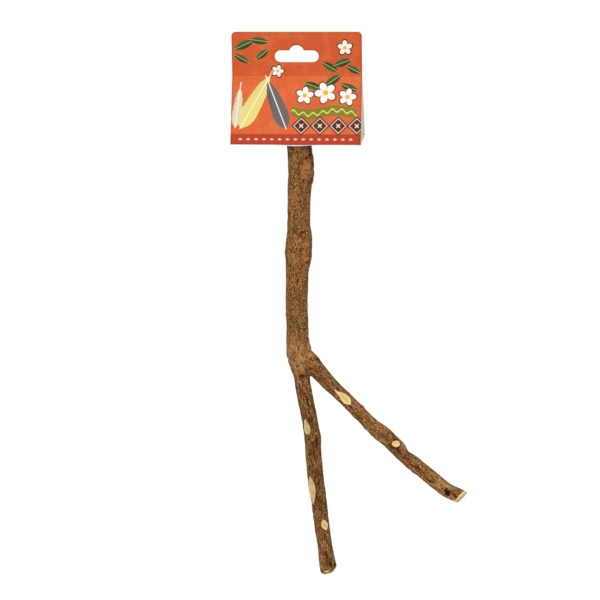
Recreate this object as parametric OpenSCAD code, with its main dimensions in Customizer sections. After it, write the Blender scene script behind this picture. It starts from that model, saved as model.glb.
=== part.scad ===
// Forked branch perch with a bolt for a cage wall, hanging from its folded header card.
// Millimetres, +Z up, +X towards the side limb, +Y away from the viewer.
// The origin is on the stud's axis at the inner washer's upper face.

/* [Branch] */
// Length from the washer to the tip of the main limb
branch_length = 327; // [250:1:420]
// Thickness of the stem at its top end
stem_d = 18; // [15:0.5:22]
// How far the stem bows out of line
stem_bow = 2.5; // [0:0.5:5]
// Depth of the fork below the washer
fork_depth = 163; // [120:1:200]
// Thickness of the main limb below the fork
main_limb_d = 12; // [9:0.5:15]
// How far the main limb's tip stands to the side of the stud
main_reach = 20; // [8:1:36]
// How far the main limb's tip leans towards the viewer
main_lean = 14; // [0:1:30]
// Thickness of the side limb
side_limb_d = 11.5; // [8:0.5:14]
// How far the side limb's tip stands to the side of the stud
side_reach = 120; // [80:1:150]
// How far the side limb comes down from the fork
side_drop = 105; // [75:1:130]
// How far the side limb's tip leans towards the viewer
side_lean = 10.5; // [0:0.5:30]

/* [Stud] */
// Diameter of the stud's machine thread
stud_d = 6; // [5:0.5:7]
// Thread standing free above the inner washer
stud_free = 24; // [20:1:28]
// Chamfer on the stud's free end
stud_chamfer = 0.8; // [0.4:0.1:1.2]
// Diameter of the plain shank in the wood
shank_d = 5.2; // [4:0.1:5.8]
// Length of the plain shank in the wood
shank_length = 6; // [4:0.5:10]
// Diameter of the wood thread
wood_thread_d = 6; // [5:0.1:7]
// Length of the wood thread, with its point
wood_thread_length = 26; // [18:1:36]

/* [Washers and nut] */
// Diameter of both washers
washer_d = 32; // [26:0.5:33]
// Thickness of both washers
washer_t = 1.5; // [1:0.1:2]
// Gap round the stud in a washer's hole
washer_slack = 0.2; // [0.1:0.05:0.4]
// Height of the nut's boss
boss_h = 7; // [5:0.5:8]
// Diameter of the boss at its foot
boss_foot_d = 12.5; // [11:0.5:14]
// Diameter of the boss at its top
boss_top_d = 10; // [8.5:0.5:10.5]
// Span over the two wings
wing_span = 25; // [22:0.5:27]
// Height of the wing tips above the nut's foot
wing_h = 11; // [9:0.5:12]
// Thickness of a wing
wing_t = 2.2; // [1.5:0.1:3]
// Radius of a wing's round tip
wing_tip_r = 3.4; // [2.5:0.1:4]
// Gap between the stud's thread and the nut's
thread_slack = 0.05; // [0.03:0.01:0.1]

/* [Header card] */
// Width of the card
card_w = 94.4; // [70:0.2:120]
// Thickness of one layer of card
card_t = 0.5; // [0.3:0.05:0.8]
// Depth of the folded tent from front fold to back fold
tent_depth = 39.5; // [38:0.5:52]
// Height of the crease above the card's floor
crease_height = 47.8; // [44:0.2:60]
// Height of the hang tab above the crease
tab_height = 31.4; // [26:0.1:45]
// Radius of the tab's top corners
tab_corner_r = 3; // [1:0.5:6]
// Length of the hang slot from end to end
slot_length = 32; // [28:0.5:36]
// Height of the hang slot
slot_h = 8.5; // [7:0.5:10]
// Middle of the hang slot above the crease
slot_rise = 13.7; // [12:0.2:16]
// Width of the round notch over the slot
notch_w = 11; // [8:0.5:12]
// Height of the notch above the slot
notch_h = 3.8; // [3:0.1:5]
// Gap round the stud in the card's floor
card_hole_slack = 0.6; // [0.3:0.1:1.5]

/* [Hidden] */
$fn = 96;

// How far a cutting shape runs past the wall that it cuts
overrun = 2 * card_t;

// Stem rings from the washer to the fork, as shares of fork_depth, stem_bow, stem_bow and stem_d
stem_share = [
    [-0.010, 0.30, 0.05, 0.99], [0.027, 0.36, 0.11, 0.99], [0.064, 0.50, 0.20, 0.98],
    [0.100, 0.46, 0.28, 0.98], [0.156, 0.46, 0.39, 0.975], [0.193, 0.38, 0.46, 1.00],
    [0.248, 0.06, 0.56, 0.98], [0.302, -0.24, 0.53, 0.96], [0.376, -0.26, 0.40, 0.96],
    [0.413, -0.17, 0.36, 1.015], [0.450, -0.14, 0.31, 1.045], [0.487, -0.37, 0.23, 1.07],
    [0.524, -0.52, 0.16, 1.06], [0.561, -0.65, 0.06, 0.995], [0.599, -0.80, -0.06, 0.945],
    [0.653, -0.90, -0.23, 0.94], [0.745, -1.24, -0.53, 0.935], [0.858, -1.06, -0.76, 0.935],
    [0.914, -1.03, -0.80, 0.935], [0.952, -1.08, -0.84, 0.92], [1.000, -1.26, -0.88, 0.84]];

// Main limb rings from the fork past its tip, as shares of its drop, its reach, its lean and main_limb_d
main_share = [
    [0.000, 0.000, 0.00, 1.17], [0.045, 0.068, 0.00, 1.05], [0.082, 0.130, 0.00, 0.98],
    [0.139, 0.188, 0.01, 0.96], [0.177, 0.232, 0.01, 0.97], [0.234, 0.314, 0.02, 0.99],
    [0.291, 0.374, 0.03, 1.01], [0.347, 0.435, 0.08, 1.04], [0.384, 0.474, 0.11, 1.06],
    [0.459, 0.494, 0.20, 1.01], [0.496, 0.521, 0.24, 0.99], [0.571, 0.568, 0.32, 0.97],
    [0.627, 0.615, 0.40, 0.98], [0.665, 0.661, 0.45, 0.97], [0.777, 0.757, 0.61, 0.95],
    [0.832, 0.815, 0.71, 0.95], [0.888, 0.864, 0.81, 0.95], [0.926, 0.898, 0.88, 1.00],
    [0.963, 0.945, 0.94, 1.05], [0.985, 0.978, 0.98, 1.04], [1.045, 1.040, 1.10, 1.07]];

// Side limb rings from the fork past its tip, as shares of its drop, its reach, its lean and side_limb_d
side_share = [
    [-0.050, 0.028, -0.10, 1.06], [0.035, 0.080, -0.16, 1.16], [0.131, 0.149, -0.22, 1.01],
    [0.189, 0.194, -0.20, 0.94], [0.247, 0.243, -0.18, 0.90], [0.363, 0.343, -0.14, 0.91],
    [0.479, 0.439, -0.10, 0.95], [0.537, 0.491, -0.06, 1.12], [0.595, 0.552, -0.05, 1.06],
    [0.653, 0.599, 0.00, 0.98], [0.711, 0.643, 0.04, 0.88], [0.768, 0.704, 0.10, 0.96],
    [0.824, 0.764, 0.17, 0.92], [0.877, 0.824, 0.40, 0.95], [0.929, 0.887, 0.62, 0.95],
    [0.958, 0.930, 0.76, 0.95], [0.991, 0.998, 0.94, 0.93], [1.058, 1.088, 1.20, 0.98]];

// How far a limb's outline swells and dips, as a share of its radius, in 2, 3 and 5 lobes
lobe_share = [0.030, 0.022, 0.012];

// Swellings: the ring that each sits at, the way it faces, and its radius and reach as shares of that ring
stem_knot_share = [
    [2.5, 350, 0.75, 1.17], [3.1, 350, 0.80, 1.20], [3.7, 350, 0.80, 1.20], [4.2, 350, 0.70, 1.13],
    [10.2, 318, 0.50, 1.08], [11.4, 196, 0.50, 1.06], [17.8, 350, 0.40, 1.05], [18.95, 352, 0.38, 1.22],
    [19.8, 318, 0.46, 1.30], [19.9, 20, 0.50, 1.30], [19.99, 270, 0.88, 0.88]];
main_knot_share = [[0.8, 200, 0.50, 1.06], [8.0, 130, 0.45, 1.08]];
side_knot_share = [
    [0.7, 346, 0.50, 1.18], [1.2, 330, 0.55, 1.14], [1.2, 20, 0.50, 1.10], [6.05, 185, 0.45, 1.12],
    [7.6, 280, 0.45, 1.08], [14.2, 265, 0.45, 1.10]];

// Pruned twigs: the ring that each sits at, the way it faces, its length as a share of
// the limb's thickness, and its depth as a share of the ring there
main_scar_share = [[6.45, 250, 0.88, 0.17], [11.70, 231, 1.10, 0.17], [14.05, 299, 0.72, 0.15]];
side_scar_share = [[4.35, 290, 0.98, 0.17], [8.66, 304, 0.50, 0.12], [13.20, 95, 0.60, 0.14]];

// The way that each tip's slanting cut faces, as shares of one length
main_cut_share = [0.32, 0.30, -0.90];
side_cut_share = [0.73, -0.36, -0.59];

ring_sides = 18;
ring_slice = stem_d / 90;

branch_top = -washer_t;
fork_z = branch_top - fork_depth;
fork_share = stem_share[len(stem_share) - 1];
fork = [fork_share[1] * stem_bow, fork_share[2] * stem_bow, fork_z];
wood_point = wood_thread_d;
wood_end = branch_top - shank_length - wood_thread_length;

washer_foot = card_t;
nut_foot = washer_foot + washer_t;

// The wings leave the boss between these heights
wing_root_low = wing_h / 8;
wing_root_high = boss_h * 0.9;
wing_tip = [wing_span / 2 - wing_tip_r, wing_h - wing_tip_r];

// Level thickness of the leaning panels, and how far their inner faces come in for each unit of height
panel_lean = (tent_depth / 2 - card_t) / crease_height;
panel_t = card_t * sqrt(1 + panel_lean * panel_lean);

// A ring is its middle's place and its radius
stem_rings = [for (s = stem_share)
    [s[1] * stem_bow, s[2] * stem_bow, branch_top - s[0] * fork_depth, s[3] * stem_d / 2]];
main_rings = [for (s = main_share)
    [fork.x + s[1] * (main_reach - fork.x), fork.y - s[2] * (main_lean + fork.y),
     fork_z - s[0] * (branch_length - fork_depth), s[3] * main_limb_d / 2]];
side_rings = [for (s = side_share)
    [fork.x + s[1] * (side_reach - fork.x), fork.y - s[2] * (side_lean + fork.y),
     fork_z - s[0] * side_drop, s[3] * side_limb_d / 2]];

function middle(ring) = [ring.x, ring.y, ring.z];
function heading(way) = [0, acos(way.z / norm(way)), atan2(way.y, way.x)];
function way_at(rings, i) = middle(rings[max(i - 1, 0)]) - middle(rings[min(i + 1, len(rings) - 1)]);
function ring_at(rings, i) = let (low = floor(i), f = i - low)
    [for (k = [0 : 3]) rings[low][k] * (1 - f) + rings[low + 1][k] * f];

// The outline across a limb, slightly lobed as a natural stick is
module limb_outline(r, turn) {
    polygon([for (k = [0 : ring_sides - 1])
        let (a = 360 * k / ring_sides,
             swell = 1 + lobe_share[0] * sin(2 * a + turn) + lobe_share[1] * sin(3 * a - 2 * turn)
                       + lobe_share[2] * sin(5 * a + 3 * turn))
        r * swell * [cos(a), sin(a)]]);
}

// One ring, square to the way that the limb runs there
module limb_ring(rings, i) {
    turn = heading(way_at(rings, i));
    translate(middle(rings[i])) rotate(turn) rotate(-turn.z)
        linear_extrude(ring_slice, center = true) limb_outline(rings[i][3], 40 * i);
}

// A limb: each ring is joined to the next
module limb(rings) {
    for (i = [0 : len(rings) - 2])
        hull() {
            limb_ring(rings, i);
            limb_ring(rings, i + 1);
        }
}

// A long swelling on the side of a limb
module knot(ring, facing, size_share, reach_share) {
    r = ring[3] * size_share;
    translate(middle(ring)) rotate(facing) translate([ring[3] * reach_share - r, 0, 0])
        hull() {
            sphere(r, $fn = 16);
            translate([-r / 2, 0, -1.2 * r]) sphere(r / 2, $fn = 16);
            translate([-r / 2, 0, 1.2 * r]) sphere(r / 2, $fn = 16);
        }
}

// The saucer that a pruned twig leaves: a shallow slice taken out by a large ball
module scar(ring, facing, scar_length, depth_share) {
    depth = ring[3] * depth_share;
    ball_r = (scar_length * scar_length / 4 + depth * depth) / (2 * depth);
    translate(middle(ring)) rotate(facing) translate([ring[3] - depth + ball_r, 0, 0])
        sphere(ball_r, $fn = 60);
}

// A tip's slanting cut: all that lies past a plane through the last ring but one
module tip_cut(rings, facing_share) {
    tip = rings[len(rings) - 2];
    block = 8 * tip[3];
    translate(middle(tip)) rotate(heading(facing_share))
        translate([-block / 2, -block / 2, 0]) cube(block);
}

module branch() {
    color("peru") difference() {
        union() {
            limb(stem_rings);
            limb(main_rings);
            limb(side_rings);
            for (k = stem_knot_share) knot(ring_at(stem_rings, k[0]), k[1], k[2], k[3]);
            for (k = main_knot_share) knot(ring_at(main_rings, k[0]), k[1], k[2], k[3]);
            for (k = side_knot_share) knot(ring_at(side_rings, k[0]), k[1], k[2], k[3]);
        }
        translate([-stem_d, -stem_d, branch_top]) cube(2 * stem_d);
        for (s = main_scar_share) scar(ring_at(main_rings, s[0]), s[1], s[2] * main_limb_d, s[3]);
        for (s = side_scar_share) scar(ring_at(side_rings, s[0]), s[1], s[2] * side_limb_d, s[3]);
        tip_cut(main_rings, main_cut_share);
        tip_cut(side_rings, side_cut_share);
        translate([0, 0, wood_end + wood_point])
            cylinder(h = shank_length + wood_thread_length, d = wood_thread_d);
        translate([0, 0, wood_end]) cylinder(h = wood_point, d1 = 0, d2 = wood_thread_d);
    }
}

module hanger_bolt() {
    color("silver") {
        translate([0, 0, branch_top]) cylinder(h = washer_t + stud_free - stud_chamfer, d = stud_d);
        translate([0, 0, stud_free - stud_chamfer])
            cylinder(h = stud_chamfer, d1 = stud_d, d2 = stud_d - 2 * stud_chamfer);
        translate([0, 0, branch_top - shank_length]) cylinder(h = shank_length, d = shank_d);
        translate([0, 0, wood_end + wood_point])
            cylinder(h = wood_thread_length - wood_point, d = wood_thread_d);
        translate([0, 0, wood_end]) cylinder(h = wood_point, d1 = 0, d2 = wood_thread_d);
    }
}

module washer() {
    difference() {
        cylinder(h = washer_t, d = washer_d);
        translate([0, 0, -overrun])
            cylinder(h = washer_t + 2 * overrun, d = stud_d + 2 * washer_slack);
    }
}

module inner_washer() {
    color("gainsboro") translate([0, 0, -washer_t]) washer();
}

module outer_washer() {
    color("gainsboro") translate([0, 0, washer_foot]) washer();
}

// One wing seen from the front: a web that rises to a round tip
module wing_outline() {
    polygon([
        [0, wing_root_low], [boss_foot_d / 2, wing_root_low],
        wing_tip + wing_tip_r * [cos(-35), sin(-35)], wing_tip,
        wing_tip + wing_tip_r * [cos(115), sin(115)],
        [boss_top_d / 2, wing_root_high], [0, wing_root_high]]);
    translate(wing_tip) circle(wing_tip_r);
}

module wing_nut() {
    color("lightgray") translate([0, 0, nut_foot]) difference() {
        union() {
            cylinder(h = boss_h, d1 = boss_foot_d, d2 = boss_top_d);
            for (turn = [0, 180])
                rotate([90, 0, turn]) linear_extrude(wing_t, center = true) wing_outline();
        }
        translate([0, 0, -overrun])
            cylinder(h = wing_h + 2 * overrun, d = stud_d + 2 * thread_slack);
    }
}

// The hang tab's outline with its two round corners, from the crease up
module tab_outline() {
    corner_x = card_w / 2 - tab_corner_r;
    translate([-card_w / 2, 0]) square([card_w, tab_height - tab_corner_r]);
    translate([-corner_x, 0]) square([2 * corner_x, tab_height]);
    for (side = [-1, 1])
        translate([side * corner_x, tab_height - tab_corner_r]) circle(tab_corner_r);
}

// The hang slot with its round ends and the notch that centres it on a peg
module slot_outline() {
    end_x = (slot_length - slot_h) / 2;
    square([2 * end_x, slot_h], center = true);
    for (side = [-1, 1]) translate([side * end_x, 0]) circle(d = slot_h);
    translate([0, slot_h / 2 + notch_h - notch_w / 2]) circle(d = notch_w);
}

// The folded strip seen from its end: floor, front and back panels up to the crease
module tent_outline() {
    difference() {
        polygon([
            [-tent_depth / 2, 0], [tent_depth / 2, 0],
            [card_t, crease_height], [-card_t, crease_height]]);
        polygon([
            [-tent_depth / 2 + panel_t + panel_lean * card_t, card_t],
            [tent_depth / 2 - panel_t - panel_lean * card_t, card_t],
            [0, (tent_depth / 2 - panel_t) / panel_lean]]);
    }
}

module header_card() {
    color("darkorange") difference() {
        union() {
            rotate([90, 0, 90]) linear_extrude(card_w, center = true) tent_outline();
            translate([0, 0, crease_height]) rotate([90, 0, 0])
                linear_extrude(2 * card_t, center = true) tab_outline();
        }
        translate([0, 0, crease_height + slot_rise]) rotate([90, 0, 0])
            linear_extrude(2 * card_t + 2 * overrun, center = true) slot_outline();
        translate([0, 0, -overrun])
            cylinder(h = card_t + 2 * overrun, d = stud_d + 2 * card_hole_slack);
    }
}

branch();
hanger_bolt();
inner_washer();
outer_washer();
wing_nut();
header_card();
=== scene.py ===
import math

import bmesh
import bpy
import numpy as np
from mathutils import Matrix, Vector, kdtree, noise


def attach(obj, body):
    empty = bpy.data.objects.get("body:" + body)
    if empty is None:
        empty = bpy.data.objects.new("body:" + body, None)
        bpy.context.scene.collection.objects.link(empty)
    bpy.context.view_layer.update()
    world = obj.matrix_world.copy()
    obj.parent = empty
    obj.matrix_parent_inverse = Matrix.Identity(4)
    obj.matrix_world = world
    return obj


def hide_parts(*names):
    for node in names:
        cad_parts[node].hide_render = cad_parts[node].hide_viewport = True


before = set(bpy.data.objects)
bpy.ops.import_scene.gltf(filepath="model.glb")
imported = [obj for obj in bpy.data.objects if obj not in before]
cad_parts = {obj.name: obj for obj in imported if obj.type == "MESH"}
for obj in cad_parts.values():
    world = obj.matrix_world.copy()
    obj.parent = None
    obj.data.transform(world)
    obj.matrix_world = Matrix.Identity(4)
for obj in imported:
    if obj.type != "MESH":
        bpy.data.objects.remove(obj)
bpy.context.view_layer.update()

MM = 0.001
scene = bpy.context.scene

# ---------- Studio ----------
# A white floor far below the hanging perch, a white surround and large soft
# lamps from the front, seen by a long lens from a little above.


class Wire:
    """One output socket of a node tree. Sums and products on it add Math nodes."""

    def __init__(self, tree, socket=None):
        self.tree, self.socket = tree, socket

    def add(self, kind, settings=None, inputs=None, out=0):
        """Adds any node: its settings first, then the values or wires of its sockets."""
        node = self.tree.nodes.new("ShaderNode" + kind)
        for name, value in (settings or {}).items():
            setattr(node, name, value)
        for name, value in (inputs or {}).items():
            if isinstance(value, Wire):
                self.tree.links.new(value.socket, node.inputs[name])
            else:
                node.inputs[name].default_value = value
        return Wire(self.tree, node.outputs[out])

    def maths(self, operation, *values):
        return self.add("Math", {"operation": operation}, dict(enumerate(values)))

    def __add__(self, other): return self.maths("ADD", self, other)
    def __radd__(self, other): return self.maths("ADD", other, self)
    def __sub__(self, other): return self.maths("SUBTRACT", self, other)
    def __rsub__(self, other): return self.maths("SUBTRACT", other, self)
    def __mul__(self, other): return self.maths("MULTIPLY", self, other)
    def __rmul__(self, other): return self.maths("MULTIPLY", other, self)
    def __truediv__(self, other): return self.maths("DIVIDE", self, other)
    def __abs__(self): return self.maths("ABSOLUTE", self)

    def wave(self): return self.maths("SINE", self)
    def cosine(self): return self.maths("COSINE", self)
    def root(self): return self.maths("SQRT", self)
    def angle(self, across): return self.maths("ARCTAN2", self, across)
    def largest(self, other): return self.maths("MAXIMUM", self, other)
    def least(self, other): return self.maths("MINIMUM", self, other)

    def step(self, low, high):
        """0 below low and 1 above high with a smooth rise between; high may be the lower."""
        return self.add("MapRange", {"interpolation_type": "SMOOTHSTEP"},
                        {0: self, 1: low, 2: high, 3: 0, 4: 1})

    def stretch(self, across, along):
        """A place vector scaled across and along the grain."""
        return self.add("VectorMath", {"operation": "MULTIPLY"}, {0: self, 1: (across, across, along)})

    def grains(self, scale, detail, rough=0.5, warp=0):
        """Noise over a place vector, from 0 to 1."""
        return self.add("TexNoise", {}, {
            "Vector": self, "Scale": scale, "Detail": detail, "Roughness": rough, "Distortion": warp})

    def cells(self, scale):
        """Distance to the nearest of a field of scattered points."""
        return self.add("TexVoronoi", {}, {"Vector": self, "Scale": scale})

    def bump(self, strength, height):
        """The tilt of a skin that this value raises, for a Normal socket."""
        return self.add("Bump", {}, {"Strength": strength, "Distance": height, "Height": self})

    def colour(self, light):
        """A plain colour to start from, as light."""
        start = self.add("RGB")
        start.socket.default_value = light
        return start

    def tint(self, colour, share):
        """This colour, with a share of another laid over it."""
        return self.add("Mix", {"data_type": "RGBA"}, {0: share, 6: self, 7: colour}, out=2)

    def under(self, *coats):
        """This colour under coats of paint, each as it shows on screen, with the share that it covers."""
        result = self
        for shade, share in coats:
            result = result.tint(paint(*shade), share)
        return result

    def lit(self, factor):
        """This colour made brighter or darker by a factor."""
        return self.add("VectorMath", {"operation": "SCALE"}, {0: self, "Scale": factor})

    def split(self):
        """The three parts of a place vector."""
        parts = self.add("SeparateXYZ", {}, {0: self}).socket.node.outputs
        return [Wire(self.tree, part) for part in parts]


def paint(red, green, blue):
    """A colour as it shows on screen, from 0 to 255, turned into light."""
    shares = (c / 255 for c in (red, green, blue))
    return (*(c / 12.92 if c < 0.0404 else ((c + 0.055) / 1.055) ** 2.4 for c in shares), 1)


def finish(name, **fixed):
    """A material, the wire that starts its maths, and a way to plug wires into its shader."""
    made = bpy.data.materials.new(name)
    made.use_nodes = True
    tree = made.node_tree
    shader = tree.nodes["Principled BSDF"]
    for socket, value in fixed.items():
        shader.inputs[socket.replace("_", " ")].default_value = value

    def plug(**wires):
        for socket, wire in wires.items():
            tree.links.new(wire.socket, shader.inputs[socket.replace("_", " ")])

    return made, Wire(tree), plug


def mesh_object(name, bm, *materials):
    """A named piece from a bmesh, with its materials."""
    mesh = bpy.data.meshes.new(name)
    bm.to_mesh(mesh)
    bm.free()
    piece = bpy.data.objects.new(name, mesh)
    scene.collection.objects.link(piece)
    for made in materials:
        mesh.materials.append(made)
    return piece


def face_out(bm):
    """Turns all faces outwards."""
    bmesh.ops.recalc_face_normals(bm, faces=bm.faces)


def in_sight(wire):
    """1 for what the camera meets, straight, mirrored or through glass, else 0."""
    rays = wire.add("LightPath").socket.node.outputs
    straight, mirrored, through = (
        Wire(wire.tree, rays[name]) for name in ("Is Camera Ray", "Is Glossy Ray", "Is Transmission Ray"))
    return straight.largest(mirrored).largest(through)


scene.view_settings.view_transform = "Standard"

# The camera: turned, tilted and rolled as in the photograph, aimed at a point on the stem under the card
YAW, TILT, ROLL = (math.radians(angle) for angle in (6.2, 14.65, -0.92))
AIM, DISTANCE, LENS, SENSOR = (-0.5 * MM, 0, -120.3 * MM), 1.8, 145.9, 36
camera = bpy.data.objects.new("camera", bpy.data.cameras.new("camera"))
camera.data.sensor_width, camera.data.lens = SENSOR, LENS
camera.data.clip_start, camera.data.clip_end = 0.1, 100
camera.matrix_world = (
    Matrix.Rotation(YAW, 4, "Z") @ Matrix.Translation(AIM) @ Matrix.Rotation(math.pi / 2 - TILT, 4, "X")
    @ Matrix.Rotation(ROLL, 4, "Z") @ Matrix.Translation((0, 0, DISTANCE)))
scene.collection.objects.link(camera)
scene.camera = camera

# The surround: white to the camera, and a little weaker where it lights the perch
FILL = 0.8
world = bpy.data.worlds.new("surround")
world.use_nodes = True
scene.world = world
strength = FILL + (1 - FILL) * in_sight(Wire(world.node_tree))
backdrop = world.node_tree.nodes["Background"]
world.node_tree.links.new(strength.socket, backdrop.inputs["Strength"])
backdrop.inputs["Color"].default_value = (1, 1, 1, 1)

# The point that the lamps face, then each lamp's name, place, width and power
LIT_POINT = Vector((0.02, 0, -0.12))
for name, place, width, power in (
    ("key", (-0.75, -1.9, 1.15), 1.1, 13.5),
    ("front", (0.55, -2.1, 0.15), 1.2, 5.4),
):
    lamp = bpy.data.objects.new(name, bpy.data.lights.new(name, "AREA"))
    lamp.data.size, lamp.data.energy = width, power
    turn = (LIT_POINT - Vector(place)).to_track_quat("-Z", "Y")
    lamp.matrix_world = Matrix.Translation(place) @ turn.to_matrix().to_4x4()
    scene.collection.objects.link(lamp)

FLOOR_Z, FLOOR_R = -0.78, 14
floor_white, bare, plug = finish("floor_white", Roughness=0.9, Specular_IOR_Level=0.1, Emission_Strength=1)
seen = in_sight(bare)
plug(Base_Color=bare.colour((0.55, 0.55, 0.55, 1)).tint((0.3, 0.3, 0.3, 1), seen),
     Emission_Color=bare.colour((0, 0, 0, 1)).tint((0.76, 0.76, 0.76, 1), seen))
bm = bmesh.new()
bmesh.ops.create_circle(bm, cap_ends=True, segments=64, radius=FLOOR_R,
                        matrix=Matrix.Translation((0, 0, FLOOR_Z)))
floor = mesh_object("floor", bm, floor_white)

# ---------- Branch ----------
# One forked stick with its bark on: a stem that ends in a burl, a main limb
# that runs on down and a thinner side limb. Twigs were cut off flush, and the
# three ends are saw cuts.

BRANCH_LENGTH, STEM_D, STEM_BOW, FORK_DEPTH = 327 * MM, 18 * MM, 2.5 * MM, 163 * MM
MAIN_D, MAIN_REACH, MAIN_LEAN = 12 * MM, 20 * MM, 14 * MM
SIDE_D, SIDE_REACH, SIDE_DROP, SIDE_LEAN = 11.5 * MM, 120 * MM, 105 * MM, 10.5 * MM
BRANCH_TOP = -1.5 * MM
SKIN, RING_SIDES = 0.58 * MM, 36          # edge of one face of the bark's mesh, and sides of a ring

# Rings along each limb: how far down, aside and towards the viewer, and how thick, all as shares
STEM_SHARE = (
    (-.01, .3, .05, .99), (.027, .36, .11, .99), (.064, .5, .2, .98), (.1, .46, .28, .98),
    (.156, .46, .39, .975), (.193, .38, .46, 1), (.248, .06, .56, .98), (.302, -.24, .53, .96),
    (.376, -.26, .4, .96), (.413, -.17, .36, 1.015), (.45, -.14, .31, 1.045), (.487, -.37, .23, 1.07),
    (.524, -.52, .16, 1.06), (.561, -.65, .06, .995), (.599, -.8, -.06, .945), (.653, -.9, -.23, .94),
    (.745, -1.24, -.53, .935), (.858, -1.06, -.76, .935), (.914, -1.03, -.8, .935),
    (.952, -1.08, -.84, .92), (1, -1.26, -.88, .84))
MAIN_SHARE = (
    (0, 0, 0, 1.17), (.045, .068, 0, 1.05), (.082, .13, 0, .98), (.139, .188, .01, .96),
    (.177, .232, .01, .97), (.234, .314, .02, .99), (.291, .374, .03, 1.01), (.347, .435, .08, 1.04),
    (.384, .474, .11, 1.06), (.459, .494, .2, 1.01), (.496, .521, .24, .99), (.571, .568, .32, .97),
    (.627, .615, .4, .98), (.665, .661, .45, .97), (.777, .757, .61, .95), (.832, .815, .71, .95),
    (.888, .864, .81, .95), (.926, .898, .88, 1), (.963, .945, .94, 1.05), (.985, .978, .98, 1.04),
    (1.045, 1.04, 1.1, 1.07))
SIDE_SHARE = (
    (-.05, .028, -.1, 1.06), (.035, .08, -.16, 1.16), (.131, .149, -.22, 1.01), (.189, .194, -.2, .94),
    (.247, .243, -.18, .9), (.363, .343, -.14, .91), (.479, .439, -.1, .95), (.537, .491, -.06, 1.12),
    (.595, .552, -.05, 1.06), (.653, .599, 0, .98), (.711, .643, .04, .88), (.768, .704, .1, .96),
    (.824, .764, .17, .92), (.877, .824, .4, .95), (.929, .887, .62, .95), (.958, .93, .76, .95),
    (.991, .998, .94, .93), (1.058, 1.088, 1.2, .98))


def turned(angle):
    """The cosine and the sine of an angle in degrees."""
    return math.cos(math.radians(angle)), math.sin(math.radians(angle))


def stood(at, *axes):
    """A frame that stands at a place on its three axes."""
    stand = Matrix(axes).transposed().to_4x4()
    stand.translation = at
    return stand


class Limb:
    """A limb's line, smoothed through its rings: places, radii, lengths and level frames along it."""

    STEPS = 10

    def __init__(self, rings):
        rings = np.array(rings)
        count = len(rings) - 1
        steps = np.linspace(0, count, count * self.STEPS + 1)
        low = np.minimum(steps.astype(int), count - 1)
        t = (steps - low)[:, None]
        reach = np.clip(np.stack([low - 1, low, low + 1, low + 2]), 0, count)
        a, b, c, d = (rings[k] for k in reach)
        curve = 0.5 * (2 * b + (c - a) * t + (2 * a - 5 * b + 4 * c - d) * t**2
                       + (3 * b - a - 3 * c + d) * t**3)
        self.at, self.radius, self.step = curve[:, :3], curve[:, 3], steps
        way = np.gradient(self.at, axis=0)
        self.way = way / np.linalg.norm(way, axis=1)[:, None]
        hop = np.linalg.norm(np.diff(self.at, axis=0), axis=1)
        self.length = np.concatenate([[0], np.cumsum(hop)])
        right = np.array([1, 0, 0]) - self.way * self.way[:, :1]
        self.right = right / np.linalg.norm(right, axis=1)[:, None]
        self.front = np.cross(self.way, self.right)
        self.tree = kdtree.KDTree(len(self.at))
        for i, place in enumerate(self.at):
            self.tree.insert(place, i)
        self.tree.balance()

    def frame_at(self, ring, facing):
        """Place, outward way, way along and radius at a ring, facing out at an angle seen from above."""
        i = min(int(round(ring * self.STEPS)), len(self.at) - 1)
        out = Vector((*turned(facing), 0))
        way = Vector(self.way[i])
        out = (out - way * out.dot(way)).normalized()
        return Vector(self.at[i]), out, way, float(self.radius[i])


def limb_rings(shares, start, drop, aside, lean, thick):
    """A limb's rings as places and radii, from their shares of its lengths."""
    x, y, z = start
    return [(x + right * aside, y + near * lean, z - down * drop, girth * thick / 2)
            for down, right, near, girth in shares]


stem_rings = limb_rings(STEM_SHARE, (0, 0, BRANCH_TOP), FORK_DEPTH, STEM_BOW, STEM_BOW, STEM_D)
fork = stem_rings[-1][:3]
main_rings = limb_rings(
    MAIN_SHARE, fork, BRANCH_LENGTH - FORK_DEPTH, MAIN_REACH - fork[0], -MAIN_LEAN - fork[1], MAIN_D)
side_rings = limb_rings(SIDE_SHARE, fork, SIDE_DROP, SIDE_REACH - fork[0], -SIDE_LEAN - fork[1], SIDE_D)
stem, main, side = Limb(stem_rings), Limb(main_rings), Limb(side_rings)
trunk = Limb(stem_rings[:-1] + main_rings[1:])     # the stem and the main limb as one line, for the grain

# Swellings: the limb and ring of each, the way it faces, and its size and reach as shares of the ring
KNOTS = (
    (stem, 2.5, 350, .75, 1.17), (stem, 3.1, 350, .8, 1.2), (stem, 3.7, 350, .8, 1.2),
    (stem, 4.2, 350, .7, 1.13), (stem, 10.2, 318, .5, 1.08), (stem, 11.4, 196, .5, 1.06),
    (stem, 17.8, 350, .4, 1.05), (stem, 18.95, 352, .38, 1.22), (stem, 19.8, 318, .46, 1.3),
    (stem, 19.9, 20, .5, 1.3), (stem, 20, 270, .88, .88), (main, .8, 200, .5, 1.06),
    (main, 8, 130, .45, 1.08), (side, .7, 346, .5, 1.18), (side, 1.2, 330, .55, 1.14),
    (side, 1.2, 20, .5, 1.1), (side, 6.05, 185, .45, 1.12), (side, 7.6, 280, .45, 1.08),
    (side, 14.2, 265, .45, 1.1))


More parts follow.
